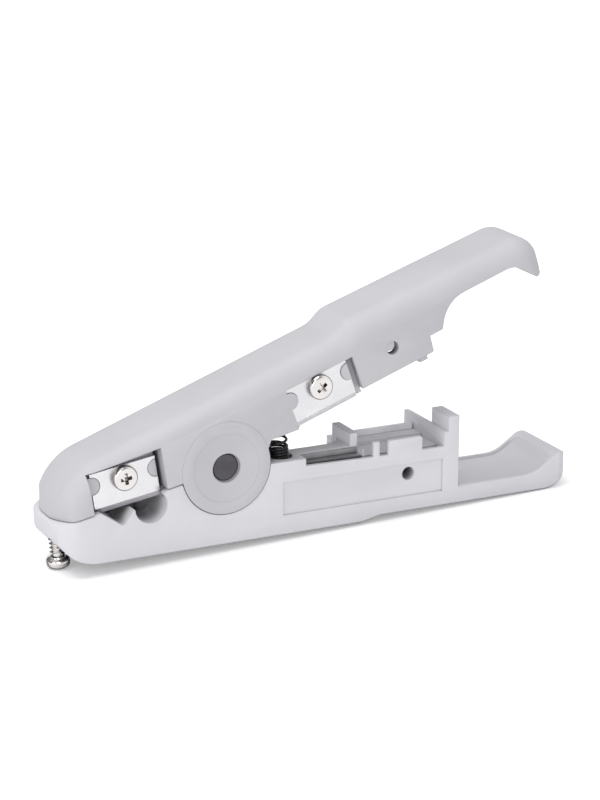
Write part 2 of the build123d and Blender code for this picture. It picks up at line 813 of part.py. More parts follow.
def bevel_sketch(face):
    """Triangle that the grinding takes off the outer face above the cutting edge."""
    end_point = face.from_local_coords((-2 * blade_half_length, 0, 0))
    end = Plane(origin=end_point, x_dir=face.y_dir, z_dir=face.x_dir)
    outward = 1 if end.y_dir.Y < 0 else -1
    with BuildSketch(end) as triangle:
        with BuildLine():
            Polyline(
                (-blade_edge_drop, outward * blade_thickness),
                (-blade_edge_drop, -outward * (blade_thickness - blade_edge_land)),
                (-blade_edge_drop + blade_bevel_height, 0),
                (-blade_edge_drop + blade_bevel_height, outward * blade_thickness),
                close=True,
            )
        make_face()
    return triangle.sketch


with BuildPart() as stripping_blade:
    extrude(blade_sketch(stripping_face), amount=-blade_thickness)
    extrude(bevel_sketch(stripping_face), amount=4 * blade_half_length, mode=Mode.SUBTRACT)
stripping_blade.part.label = "stripping_blade"

with BuildPart() as cutter_blade:
    extrude(blade_sketch(cutter_face), amount=-blade_thickness)
    extrude(bevel_sketch(cutter_face), amount=4 * blade_half_length, mode=Mode.SUBTRACT)
cutter_blade.part.label = "cutter_blade"


# Blade screws: pan head with a cross recess
with BuildPart() as stripping_blade_screw:
    with BuildSketch(stripping_face) as first_head:
        Circle(screw_head_radius)
    extrude(amount=screw_head_height)
    fillet(stripping_blade_screw.edges().filter_by(GeomType.CIRCLE).sort_by(Axis.Y)[0], screw_head_edge)
    with BuildSketch(stripping_face.offset(screw_head_height)) as first_cross:
        Rectangle(cross_span, cross_width)
        Rectangle(cross_width, cross_span)
    extrude(amount=-cross_depth, mode=Mode.SUBTRACT)
    with BuildSketch(stripping_face) as first_shank:
        Circle(screw_shank_radius)
    extrude(amount=-screw_shank_length)
stripping_blade_screw.part.label = "stripping_blade_screw"

with BuildPart() as cutter_blade_screw:
    with BuildSketch(cutter_face) as second_head:
        Circle(screw_head_radius)
    extrude(amount=screw_head_height)
    fillet(cutter_blade_screw.edges().filter_by(GeomType.CIRCLE).sort_by(Axis.Y)[0], screw_head_edge)
    with BuildSketch(cutter_face.offset(screw_head_height)) as second_cross:
        Rectangle(cross_span, cross_width)
        Rectangle(cross_width, cross_span)
    extrude(amount=-cross_depth, mode=Mode.SUBTRACT)
    with BuildSketch(cutter_face) as second_shank:
        Circle(screw_shank_radius)
    extrude(amount=-screw_shank_length)
cutter_blade_screw.part.label = "cutter_blade_screw"


# Depth screw: domed slotted head below the nose, shank up through the lower jaw
with BuildPart() as depth_screw:
    with BuildSketch(head_plane) as depth_shank:
        Circle(depth_screw_radius)
    extrude(amount=head_run + tip_run)
    with BuildSketch(head_plane) as depth_head:
        Circle(depth_head_radius)
    extrude(amount=-depth_head_height)
    fillet(depth_screw.edges().filter_by(GeomType.CIRCLE).sort_by(Axis.Z)[0], depth_head_dome)
    with BuildSketch(head_plane.offset(-depth_head_height)) as depth_slot:
        Rectangle(depth_slot_width, 2 * depth_head_radius)
    extrude(amount=depth_slot_depth, mode=Mode.SUBTRACT)
depth_screw.part.label = "depth_screw"


# Anvil beside the cutter blade's slot: a steel bar with a groove and a raised far edge
with BuildPart() as cutter_anvil:
    anvil_near = half_width - near_wall - cutter_slot_width
    anvil_far = front_tray_far_edge + touch_gap
    with BuildSketch(Plane(origin=(seat_end + touch_gap, 0, pivot_height), x_dir=(0, 1, 0), z_dir=(1, 0, 0))):
        with BuildLine():
            Polyline(
                (-anvil_near, -front_tray_floor_drop),
                (-anvil_near, -anvil_low_drop),
                (-anvil_far - anvil_high_width - anvil_groove_width, -anvil_low_drop),
                (-anvil_far - anvil_high_width - anvil_groove_width, -anvil_low_drop - anvil_groove_depth),
                (-anvil_far - anvil_high_width, -anvil_low_drop - anvil_groove_depth),
                (-anvil_far - anvil_high_width, -anvil_high_drop),
                (-anvil_far, -anvil_high_drop),
                (-anvil_far, -front_tray_floor_drop),
                close=True,
            )
        make_face()
    extrude(amount=front_tray_end - seat_end - 2 * touch_gap)
cutter_anvil.part.label = "cutter_anvil"


# Flat blades: one stands in the rear tray, the other hangs above it
with BuildPart() as lower_flat_blade:
    with BuildSketch(tray_top.offset(-flat_blade_drop)) as strip_top:
        with Locations((flat_blade_start + flat_blade_length / 2, flat_blade_offset + flat_blade_thickness / 2)):
            Rectangle(flat_blade_length, flat_blade_thickness)
    extrude(amount=-flat_blade_height)
lower_flat_blade.part.label = "lower_flat_blade"

with BuildPart() as upper_flat_blade:
    plate_top = web_low + upper_flat_hold
    plate_low = upper_flat_gap - flat_blade_drop
    with BuildSketch(upper_view.offset(-flat_blade_middle)) as plate:
        with Locations((flat_blade_start + flat_blade_length / 2, (plate_top + plate_low) / 2)):
            Rectangle(flat_blade_length, plate_top - plate_low)
    extrude(amount=-upper_flat_thickness)
upper_flat_blade.part.label = "upper_flat_blade"


os.makedirs("parts", exist_ok=True)
for piece in (
    lower_handle,
    upper_handle,
    pivot_pin,
    return_spring,
    stripping_blade,
    cutter_blade,
    stripping_blade_screw,
    cutter_blade_screw,
    depth_screw,
    cutter_anvil,
    lower_flat_blade,
    upper_flat_blade,
):
    export_step(piece.part, f"parts/{piece.part.label}.step")
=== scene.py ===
"""Looks of a hand stripper for network cable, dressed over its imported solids.

All lengths in the size fields are metres in the part's own frame: the origin lies on
the base straight below the pivot, +X runs to the grips and +Z is up.
"""

import json
import logging
import math
from collections.abc import Callable
from dataclasses import dataclass
from enum import Enum

import bmesh
import bpy
from mathutils import Matrix, Vector

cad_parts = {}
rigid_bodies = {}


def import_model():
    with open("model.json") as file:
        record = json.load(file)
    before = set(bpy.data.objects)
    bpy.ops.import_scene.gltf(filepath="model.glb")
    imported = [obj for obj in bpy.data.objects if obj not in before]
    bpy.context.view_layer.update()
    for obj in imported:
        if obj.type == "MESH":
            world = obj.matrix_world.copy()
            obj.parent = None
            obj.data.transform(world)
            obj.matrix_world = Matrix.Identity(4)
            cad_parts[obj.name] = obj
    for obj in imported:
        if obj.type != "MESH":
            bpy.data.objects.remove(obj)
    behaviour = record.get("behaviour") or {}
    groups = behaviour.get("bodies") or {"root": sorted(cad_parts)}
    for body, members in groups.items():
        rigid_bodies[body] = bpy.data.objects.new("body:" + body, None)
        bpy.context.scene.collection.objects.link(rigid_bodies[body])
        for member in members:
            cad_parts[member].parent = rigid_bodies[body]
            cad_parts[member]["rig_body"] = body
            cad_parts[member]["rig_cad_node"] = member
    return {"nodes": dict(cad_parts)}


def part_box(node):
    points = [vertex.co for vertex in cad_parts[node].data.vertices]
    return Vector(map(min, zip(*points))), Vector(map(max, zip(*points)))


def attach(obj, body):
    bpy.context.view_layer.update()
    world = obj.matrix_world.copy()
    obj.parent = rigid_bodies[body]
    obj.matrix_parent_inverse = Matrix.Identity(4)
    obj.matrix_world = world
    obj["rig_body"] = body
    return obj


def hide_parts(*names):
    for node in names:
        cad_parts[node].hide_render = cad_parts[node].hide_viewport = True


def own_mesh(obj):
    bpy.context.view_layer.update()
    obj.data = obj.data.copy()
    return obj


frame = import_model()

log = logging.getLogger("cable_stripper")

MM = 0.001

NEAR_ZERO = 1e-7
LEVEL = 0.99  # least share of a face's normal along Z that makes the face level

Colour = tuple[float, float, float]
Point = tuple[float, float, float]

WHITE: Colour = (1, 1, 1)


class Drive(Enum):
    """The kinds of recess in a screw head."""

    CROSS = "cross"
    SLOT = "slot"


class Side(Enum):
    """The end of an upright form that is worked on."""

    TOP = 1
    BOTTOM = -1


# Node boards


class Board:
    """A material's node tree, with short ways to add and join nodes."""

    noise_roughness: float = 0.55
    edge_samples: int = 4

    def __init__(self, name: str) -> None:
        """Makes an empty material of that name.

        Args:
            name: The finish's name.
        """
        self.material = bpy.data.materials.new(name)
        self.material.use_nodes = True
        self.tree = self.material.node_tree
        self.tree.nodes.clear()
        self.output = self.add("ShaderNodeOutputMaterial", 900)
        self.shader = self.add("ShaderNodeBsdfPrincipled", 600)
        self.join(self.shader.outputs["BSDF"], self.output.inputs["Surface"])
        self.place = self.add("ShaderNodeTexCoord", -900)

    def add(self, kind: str, across: int, **values: float) -> bpy.types.Node:
        """Adds a node.

        Args:
            kind: The node's type.
            across: Where it stands on the board.
            **values: Input sockets to set, by name with _ for a space.

        Returns:
            The new node.
        """
        node = self.tree.nodes.new(kind)
        node.location = (across, -60 * len(self.tree.nodes))
        for key, value in values.items():
            node.inputs[key.replace("_", " ")].default_value = value
        return node

    def join(self, source: bpy.types.NodeSocket, target: bpy.types.NodeSocket) -> None:
        """Joins two sockets."""
        self.tree.links.new(source, target)

    def noise(self, scale: float, detail: float, stretch: Point = (1, 1, 1)) -> bpy.types.NodeSocket:
        """Adds noise in the object's own coordinates.

        Args:
            scale: Features per metre.
            detail: Octaves of detail.
            stretch: How much denser the noise is along each axis.

        Returns:
            The noise's factor socket.
        """
        mapping = self.add("ShaderNodeMapping", -700)
        mapping.inputs["Scale"].default_value = stretch
        self.join(self.place.outputs["Object"], mapping.inputs["Vector"])
        noise = self.add("ShaderNodeTexNoise", -500, Scale=scale, Detail=detail)
        noise.inputs["Roughness"].default_value = self.noise_roughness
        self.join(mapping.outputs["Vector"], noise.inputs["Vector"])
        return noise.outputs["Fac"]

    def spread(
        self,
        source: bpy.types.NodeSocket,
        low: float,
        high: float,
        start_at: float = 0.3,
        end_at: float = 0.7,
    ) -> bpy.types.NodeSocket:
        """Turns noise into a value between two bounds.

        Args:
            source: The noise.
            low: Value at the noise's low end.
            high: Value at its high end.
            start_at: Noise value that still has the low value.
            end_at: Noise value that has reached the high value.

        Returns:
            The value's socket.
        """
        spread = self.add(
            "ShaderNodeMapRange", -200, From_Min=start_at, From_Max=end_at, To_Min=low, To_Max=high
        )
        self.join(source, spread.inputs["Value"])
        return spread.outputs["Result"]

    def tint(
        self,
        source: bpy.types.NodeSocket,
        low: Colour,
        high: Colour,
        start_at: float = 0.32,
        end_at: float = 0.68,
    ) -> bpy.types.NodeSocket:
        """Turns noise into a colour between two others.

        Args:
            source: The noise.
            low: Colour at the noise's low end.
            high: Colour at its high end.
            start_at: Noise value that still has the low colour.
            end_at: Noise value that has reached the high colour.

        Returns:
            The colour's socket.
        """
        ramp = self.add("ShaderNodeValToRGB", -200)
        for stop, position, colour in zip(ramp.color_ramp.elements, (start_at, end_at), (low, high)):
            stop.position = position
            stop.color = (*colour, 1)
        self.join(source, ramp.inputs["Fac"])
        return ramp.outputs["Color"]

    def multiply(self, colour: bpy.types.NodeSocket, factor: bpy.types.NodeSocket) -> bpy.types.NodeSocket:
        """Multiplies one colour by another.

        Args:
            colour: The colour.
            factor: What darkens it.

        Returns:
            The product's socket.
        """
        blend = self.add("ShaderNodeMix", 300)
        blend.data_type = "RGBA"
        blend.blend_type = "MULTIPLY"
        blend.inputs["Factor"].default_value = 1
        self.join(colour, blend.inputs["A"])
        self.join(factor, blend.inputs["B"])
        return blend.outputs["Result"]

    def relief(self, source: bpy.types.NodeSocket, strength: float, depth: float, edge: float) -> None:
        """Joins noise to the shader's normal as relief, over edges rounded in the shading.

        Args:
            source: The noise.
            strength: Share of the relief that shows.
            depth: Depth of the relief in metres.
            edge: Radius that sharp edges look rounded to, in metres.
        """
        rounded = self.add("ShaderNodeBevel", 0, Radius=edge)
        rounded.samples = self.edge_samples
        bump = self.add("ShaderNodeBump", 200, Strength=strength, Distance=depth)
        self.join(source, bump.inputs["Height"])
        self.join(rounded.outputs["Normal"], bump.inputs["Normal"])
        self.join(bump.outputs["Normal"], self.shader.inputs["Normal"])


# Finishes


@dataclass(frozen=True)
class MouldedPlastic:
    """Light grey moulded plastic: satin skin, fine grain, with painted shade that darkens it in crevices
    and in deep hollows.
    """

    name: str
    low: Colour = (0.630, 0.621, 0.648)
    high: Colour = (0.665, 0.657, 0.682)
    grain: float = 2600.0
    grain_strength: float = 0.12
    grain_depth: float = 0.02 * MM
    cloud: float = 55.0
    gloss_low: float = 0.46
    gloss_high: float = 0.56
    specular: float = 0.35
    edge: float = 0.25 * MM
    # Painted shade: a light darkening close to contact, in crevices and gaps, found by ambient occlusion.
    crevice_shade_reach: float = 1.2 * MM
    crevice_shade_shut: float = 0.32
    crevice_shade_bare: float = 0.68
    crevice_shade_tone: Colour = (0.78, 0.77, 0.80)
    # Painted shade: deep hollows such as the jaw interior are darkened nearly to black, where the blade
    # and the other handle shut out the light.
    hollow_shade_reach: float = 11.0 * MM
    hollow_shade_shut: float = 0.08
    hollow_shade_bare: float = 0.42
    hollow_shade_tone: Colour = (0.16, 0.155, 0.17)
    shade_samples: int = 6

    def build(self) -> bpy.types.Material:
        """Builds the material.

        Returns:
            The plastic.
        """
        board = Board(self.name)
        cloud = board.noise(self.cloud, 3)
        grain = board.noise(self.grain, 2)
        colour = board.tint(cloud, self.low, self.high)
        # Ambient occlusion multiplies painted shade into the base colour, first in crevices, then in deep
        # hollows.
        for reach, tone, shut, bare in (
            (self.crevice_shade_reach, self.crevice_shade_tone, self.crevice_shade_shut, self.crevice_shade_bare),
            (self.hollow_shade_reach, self.hollow_shade_tone, self.hollow_shade_shut, self.hollow_shade_bare),
        ):
            shade = board.add("ShaderNodeAmbientOcclusion", -200, Distance=reach)
            shade.samples = self.shade_samples
            colour = board.multiply(colour, board.tint(shade.outputs["AO"], tone, WHITE, shut, bare))
        board.join(colour, board.shader.inputs["Base Color"])
        board.join(board.spread(cloud, self.gloss_low, self.gloss_high), board.shader.inputs["Roughness"])
        board.shader.inputs["Specular IOR Level"].default_value = self.specular
        board.relief(grain, self.grain_strength, self.grain_depth, self.edge)
        return board.material


@dataclass(frozen=True)
class Metal:
    """Bare or plated metal with fine marks that run one way, and, if asked, painted shade that darkens its
    rims where the surface turns from view.
    """

    name: str
    low: Colour
    high: Colour
    gloss_low: float
    gloss_high: float
    marks: float = 900.0
    stretch: Point = (1, 1, 12)
    relief: float = 0.1
    mark_depth: float = 0.01 * MM
    marks_per_cloud: float = 6.0
    edge: float = 0.06 * MM
    metallic: float = 1.0
    # Painted shade at the rims: the colour factor where the surface turns from view; 1 paints none.
    rim: float = 1.0
    rim_shade_start: float = 0.30
    rim_shade_end: float = 0.52

    def build(self) -> bpy.types.Material:
        """Builds the material.

        Returns:
            The metal.
        """
        board = Board(self.name)
        marks = board.noise(self.marks, 4, self.stretch)
        cloud = board.noise(self.marks / self.marks_per_cloud, 2)
        # Painted shade: the base colour darkens where the surface turns away from view, standing in for
        # dark reflections at the rims.
        facing = board.add("ShaderNodeLayerWeight", -500, Blend=0.5)
        rim_shade_colour = (self.rim, self.rim, self.rim)
        rim = board.tint(facing.outputs["Facing"], WHITE, rim_shade_colour, self.rim_shade_start, self.rim_shade_end)
        colour = board.multiply(board.tint(cloud, self.low, self.high), rim)
        board.join(colour, board.shader.inputs["Base Color"])
        board.join(board.spread(marks, self.gloss_low, self.gloss_high), board.shader.inputs["Roughness"])
        board.shader.inputs["Metallic"].default_value = self.metallic
        board.relief(marks, self.relief, self.mark_depth, self.edge)
        return board.material


# Modelling steps


def start(obj_maker: Callable[..., set[str]], **values: object) -> bpy.types.Object:
    """Deselects everything and adds a primitive.

    Args:
        obj_maker: The operator that adds it.
        **values: The operator's values.

    Returns:
        The new object.
    """
    bpy.ops.object.select_all(action="DESELECT")
    obj_maker(**values)
    return bpy.context.object


def only(obj: bpy.types.Object) -> None:
    """Makes an object the only selected one, and the active one."""
    bpy.ops.object.select_all(action="DESELECT")
    obj.select_set(True)
    bpy.context.view_layer.objects.active = obj


def pick_faces(obj: bpy.types.Object, test: Callable[[bmesh.types.BMFace], bool]) -> None:
    """Enters edit mode and selects the faces that pass a test.

    Args:
        obj: The object to edit.
        test: Says whether a face is wanted.
    """
    only(obj)
    bpy.ops.object.mode_set(mode="EDIT")
    bpy.ops.mesh.select_mode(type="FACE")
    bpy.ops.mesh.select_all(action="DESELECT")
    mesh = bmesh.from_edit_mesh(obj.data)
    for face in mesh.faces:
        face.select_set(test(face))
    bmesh.update_edit_mesh(obj.data)


def pick_edges(obj: bpy.types.Object, test: Callable[[bmesh.types.BMEdge], bool]) -> None:
    """Enters edit mode and selects the edges that pass a test.

    Args:
        obj: The object to edit.
        test: Says whether an edge is wanted.
    """
    only(obj)
    bpy.ops.object.mode_set(mode="EDIT")
    bpy.ops.mesh.select_mode(type="EDGE")
    bpy.ops.mesh.select_all(action="DESELECT")
    mesh = bmesh.from_edit_mesh(obj.data)
    for edge in mesh.edges:
        if test(edge):
            edge.select_set(True)
    bmesh.update_edit_mesh(obj.data)


def leave() -> None:
    """Leaves edit mode."""
    bpy.ops.object.mode_set(mode="OBJECT")


def end_face(side: Side, reach: float) -> Callable[[bmesh.types.BMFace], bool]:
    """Says which face closes an upright form at one end.

    Args:
        side: The end.
        reach: How far the form reaches that way.

    Returns:
        A test for pick_faces.
    """

    def test(face: bmesh.types.BMFace) -> bool:
        """True for the last flat face at that end."""
        heights = [side.value * corner.co.z for corner in face.verts]
        return side.value * face.normal.z > LEVEL and min(heights) > reach - NEAR_ZERO

    return test


def grow(obj: bpy.types.Object, side: Side, steps: list[tuple[float, float]]) -> None:
    """Draws an upright round form out from one end, ring by ring.

    Args:
        obj: The round form, on the Z axis.
        side: The end to draw out.
        steps: Radius and height of each new ring, with the height along Z.
    """
    for radius, height in steps:
        reach = max(side.value * corner.co.z for corner in obj.data.vertices)
        now = side.value * reach
        rim = [corner.co for corner in obj.data.vertices if abs(corner.co.z - now) < NEAR_ZERO]
        old = max(math.hypot(co.x, co.y) for co in rim)
        pick_faces(obj, end_face(side, reach))
        bpy.ops.mesh.extrude_region_move(TRANSFORM_OT_translate={"value": (0, 0, height - now)})
        bpy.ops.transform.resize(value=(radius / old, radius / old, 1), center_override=(0, 0, height))
        leave()


def cut(obj: bpy.types.Object, tool: bpy.types.Object) -> None:
    """Takes a tool's shape out of an object, and removes the tool.

    Args:
        obj: The object that is cut.
        tool: The shape that is taken out.
    """
    modifier = obj.modifiers.new("cut", "BOOLEAN")
    modifier.object = tool
    modifier.solver = "EXACT"
    only(obj)
    bpy.ops.object.modifier_apply(modifier=modifier.name)
    bpy.data.objects.remove(tool)


def merge(first: bpy.types.Object, *others: bpy.types.Object) -> bpy.types.Object:
    """Joins objects into the first one.

    Args:
        first: The object that stays.
        *others: The objects that go into it.

    Returns:
        The first object.
    """
    only(first)
    for other in others:
        other.select_set(True)
    bpy.ops.object.join()
    return first


def settle(obj: bpy.types.Object, place: Matrix, smooth: float = 35.0) -> None:
    """Puts an object's place into its mesh and smooths its shading.

    Args:
        obj: The object, modelled at the origin.
        place: Where it goes.
        smooth: Edges flatter than this many degrees look smooth.
    """
    only(obj)
    obj.matrix_world = place @ obj.matrix_world
    bpy.ops.object.transform_apply(location=True, rotation=True, scale=True)
    bpy.ops.object.mode_set(mode="EDIT")
    bpy.ops.mesh.select_all(action="SELECT")
    bpy.ops.mesh.normals_make_consistent(inside=False)
    bpy.ops.object.mode_set(mode="OBJECT")
    bpy.ops.object.shade_smooth_by_angle(angle=math.radians(smooth))


def dress(obj: bpy.types.Object, finish: bpy.types.Material) -> None:
    """Gives an object one finish all over."""
    obj.data.materials.clear()
    obj.data.materials.append(finish)


def upright_to(axis: Vector, origin: Vector, turn: float = 0.0) -> Matrix:
    """Finds the place of a form that was modelled along +Z.

    Args:
        axis: Where its +Z points.
        origin: Where its origin goes.
        turn: Turn about its own axis, in degrees.

    Returns:
        The matrix of that place.
    """
    turned = Matrix.Rotation(math.radians(turn), 4, "Z")
    return Matrix.Translation(origin) @ axis.to_track_quat("Z", "Y").to_matrix().to_4x4() @ turned


# Sub-assemblies


@dataclass
class Mouldings:
    """The two plastic handles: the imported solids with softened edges."""

    edge_width: float = 0.22 * MM
    edge_steps: int = 2
    edge_angle: float = 38.0
    flat_angle: float = 0.2
    weld: float = 0.0005 * MM

    def build(self, *finishes: bpy.types.Material) -> list[bpy.types.Object]:
        """Makes both handles.

        Args:
            *finishes: Plastic of the lower handle, then of the upper one, which is a darker copy with
                       painted shade.

        Returns:
            The two handles.
        """
        made = []
        for node, body, finish in zip(("lower_handle", "upper_handle"), ("lower", "upper"), finishes):
            handle = self.soften(frame["nodes"][node], f"{node}_moulding")
            dress(handle, finish)
            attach(handle, body)
            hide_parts(node)
            made.append(handle)
        return made

    def soften(self, node: bpy.types.Object, name: str) -> bpy.types.Object:
        """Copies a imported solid, merges its loose triangles and rounds its sharp edges.

        Args:
            node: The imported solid.
            name: The new piece's name.

        Returns:
            The softened copy.
        """
        only(node)
        bpy.ops.object.duplicate()
        piece = bpy.context.object
        piece.name = name
        piece.parent = None
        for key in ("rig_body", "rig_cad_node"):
            if key in piece:
                del piece[key]
        only(piece)
        bpy.ops.object.mode_set(mode="EDIT")
        bpy.ops.mesh.select_all(action="SELECT")
        bpy.ops.mesh.remove_doubles(threshold=self.weld)
        bpy.ops.mesh.customdata_custom_splitnormals_clear()
        bpy.ops.mesh.dissolve_limited(angle_limit=math.radians(self.flat_angle))
        bpy.ops.object.mode_set(mode="OBJECT")
        rounding = piece.modifiers.new("rounding", "BEVEL")
        rounding.width = self.edge_width
        rounding.segments = self.edge_steps
        rounding.limit_method = "ANGLE"
        rounding.angle_limit = math.radians(self.edge_angle)
        rounding.use_clamp_overlap = True
        rounding.miter_outer = "MITER_SHARP"
        bpy.ops.object.modifier_apply(modifier=rounding.name)
        bpy.ops.object.shade_smooth_by_angle(angle=math.radians(self.edge_angle))
        return piece


@dataclass(frozen=True)
class HeadRecess:
    """The recess in a screw head."""

    kind: Drive
    span: float
    width: float
    depth: float
    taper: float
    width_taper: float = 0.8

    def tool(self, height: float) -> list[bpy.types.Object]:
        """Makes the cutting shapes of the recess.

        Args:
            height: Height of the head's top face.

        Returns:
            One tapered bar for a slot, two crossed ones for a cross.
        """
        bars = []
        turns = (0.0, 90.0) if self.kind is Drive.CROSS else (0.0,)
        for turn in turns:
            bar = start(
                bpy.ops.mesh.primitive_cube_add,
                size=1,
                location=(0, 0, height),
                scale=(self.span, self.width, 2 * self.depth),
            )
            bpy.ops.object.transform_apply(location=True, rotation=True, scale=True)
            pick_faces(bar, lambda face: face.normal.z < -LEVEL)
            bpy.ops.transform.resize(
                value=(self.taper, self.width_taper, 1), center_override=(0, 0, height - self.depth)
            )
            leave()
            bar.matrix_world = Matrix.Rotation(math.radians(turn), 4, "Z")
            only(bar)
            bpy.ops.object.transform_apply(location=True, rotation=True, scale=True)
            bars.append(bar)
        return bars


@dataclass
class BladeScrews:
    """The two pan-head screws that hold the blades."""

    head_radius: float = 2.75 * MM
    head_height: float = 1.5 * MM
    head_sides: int = 64
    edge_radius: float = 0.62 * MM
    edge_steps: int = 7
    shank_radius: float = 1.2 * MM
    shank_length: float = 5.9 * MM
    cross_turns: tuple[float, float] = (8.0, 40.0)
    recess: HeadRecess = HeadRecess(Drive.CROSS, 3.6 * MM, 0.90 * MM, 1.10 * MM, 0.42)

    def build(self, finish: bpy.types.Material) -> list[bpy.types.Object]:
        """Models one screw and places it twice.

        Args:
            finish: The screws' plating.

        Returns:
            Both screws.
        """
        pattern = self.model()
        made = []
        for node, turn in zip(("stripping_blade_screw", "cutter_blade_screw"), self.cross_turns):
            low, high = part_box(node)
            under_head = Vector(((low.x + high.x) / 2, low.y + self.head_height, (low.z + high.z) / 2))
            only(pattern)
            bpy.ops.object.duplicate()
            screw = bpy.context.object
            screw.name = f"{node}_detailed"
            settle(screw, upright_to(Vector((0, -1, 0)), under_head, turn))
            dress(screw, finish)
            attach(screw, "upper")
            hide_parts(node)
            made.append(screw)
        bpy.data.objects.remove(pattern)
        return made

    def model(self) -> bpy.types.Object:
        """Models a screw with the underside of its head at the origin.

        Returns:
            The screw, along +Z.
        """
        head = start(
            bpy.ops.mesh.primitive_cylinder_add,
            vertices=self.head_sides,
            radius=self.head_radius,
            depth=self.head_height,
            location=(0, 0, self.head_height / 2),
        )
        bpy.ops.object.transform_apply(location=True, rotation=True, scale=True)
        top = self.head_height - NEAR_ZERO
        pick_edges(head, lambda edge: all(corner.co.z > top for corner in edge.verts))
        bpy.ops.mesh.bevel(offset=self.edge_radius, segments=self.edge_steps, affect="EDGES", profile=0.5)
        leave()
        for bar in self.recess.tool(self.head_height):
            cut(head, bar)
        grow(head, Side.BOTTOM, [(self.shank_radius, 0.0), (self.shank_radius, -self.shank_length)])
        return head


@dataclass
class DepthScrew:
    """The screw under the nose: domed slotted head, collar and a coarse thread."""

    point: Point = (-35.3 * MM, 0.0, 2.3 * MM)
    lean: float = 5.0
    head_bottom: float = -5.0 * MM
    head_top: float = -2.8 * MM
    head_radius: float = 2.55 * MM
    core_radius: float = 1.12 * MM
    core_sides: int = 48
    crest_radius: float = 1.5 * MM
    pitch: float = 0.95 * MM
    turns: int = 9
    steps_per_turn: int = 32
    tip: float = 6.2 * MM
    collar_height: float = 0.6 * MM
    thread_start: float = 0.9 * MM
    thread_sink: float = 0.4
    turned: float = 25.0
    collar: tuple[tuple[float, float], ...] = ((1.05, 0.5 * MM), (1.12, 0.15 * MM))
    neck: tuple[float, float] = (0.80, -0.02 * MM)
    dome: tuple[tuple[float, float], ...] = (
        (0.95, 0.06),
        (1.00, 0.20),
        (1.00, 0.48),
        (0.96, 0.66),
        (0.86, 0.81),
        (0.70, 0.92),
        (0.45, 0.98),
        (0.15, 1.00),
    )
    recess: HeadRecess = HeadRecess(Drive.SLOT, 6.0 * MM, 0.8 * MM, 0.8 * MM, 1.0)

    def build(self, finish: bpy.types.Material) -> bpy.types.Object:
        """Makes the depth screw.

        Args:
            finish: Its plating.

        Returns:
            The screw.
        """
        screw = merge(self.body(), self.thread())
        screw.name = "depth_screw_detailed"
        tilt = math.radians(self.lean)
        axis = Vector((-math.sin(tilt), 0, math.cos(tilt)))
        settle(screw, upright_to(axis, Vector(self.point), self.turned))
        dress(screw, finish)
        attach(screw, "depth_adjuster")
        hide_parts("depth_screw")
        return screw

    def body(self) -> bpy.types.Object:
        """Models the core, collar and head.

        Returns:
            The form without its thread.
        """
        foot = self.head_top + self.collar_height
        core = start(
            bpy.ops.mesh.primitive_cylinder_add,
            vertices=self.core_sides,
            radius=self.core_radius,
            depth=self.tip - foot,
            location=(0, 0, (self.tip + foot) / 2),
        )
        bpy.ops.object.transform_apply(location=True, rotation=True, scale=True)
        height = self.head_top - self.head_bottom
        rings = [(self.crest_radius * share, self.head_top + rise) for share, rise in self.collar]
        rings.append((self.head_radius * self.neck[0], self.head_top + self.neck[1]))
        rings += [(self.head_radius * share, self.head_top - drop * height) for share, drop in self.dome]
        grow(core, Side.BOTTOM, rings)
        for bar in self.recess.tool(self.head_bottom):
            cut(core, bar)
        return core

    def thread(self) -> bpy.types.Object:
        """Models the thread as one ridge that winds round the core.

        Returns:
            The ridge.
        """
        depth = self.crest_radius - self.core_radius
        ridge = start(
            bpy.ops.mesh.primitive_circle_add,
            vertices=3,
            radius=depth,
            fill_type="NGON",
            location=(self.core_radius + self.thread_sink * depth, 0, self.head_top + self.thread_start),
            rotation=(math.radians(90), math.radians(90), 0),
        )
        bpy.ops.object.transform_apply(location=True, rotation=True, scale=True)
        pick_faces(ridge, lambda face: True)
        bpy.ops.mesh.delete(type="ONLY_FACE")
        leave()
        winding = ridge.modifiers.new("winding", "SCREW")
        winding.axis = "Z"
        winding.angle = math.radians(360)
        winding.screw_offset = self.pitch
        winding.iterations = self.turns
        winding.steps = winding.render_steps = self.steps_per_turn
        only(ridge)
        bpy.ops.object.modifier_apply(modifier=winding.name)
        pick_edges(ridge, lambda edge: edge.is_boundary)
        bpy.ops.mesh.fill()
        leave()
        return ridge


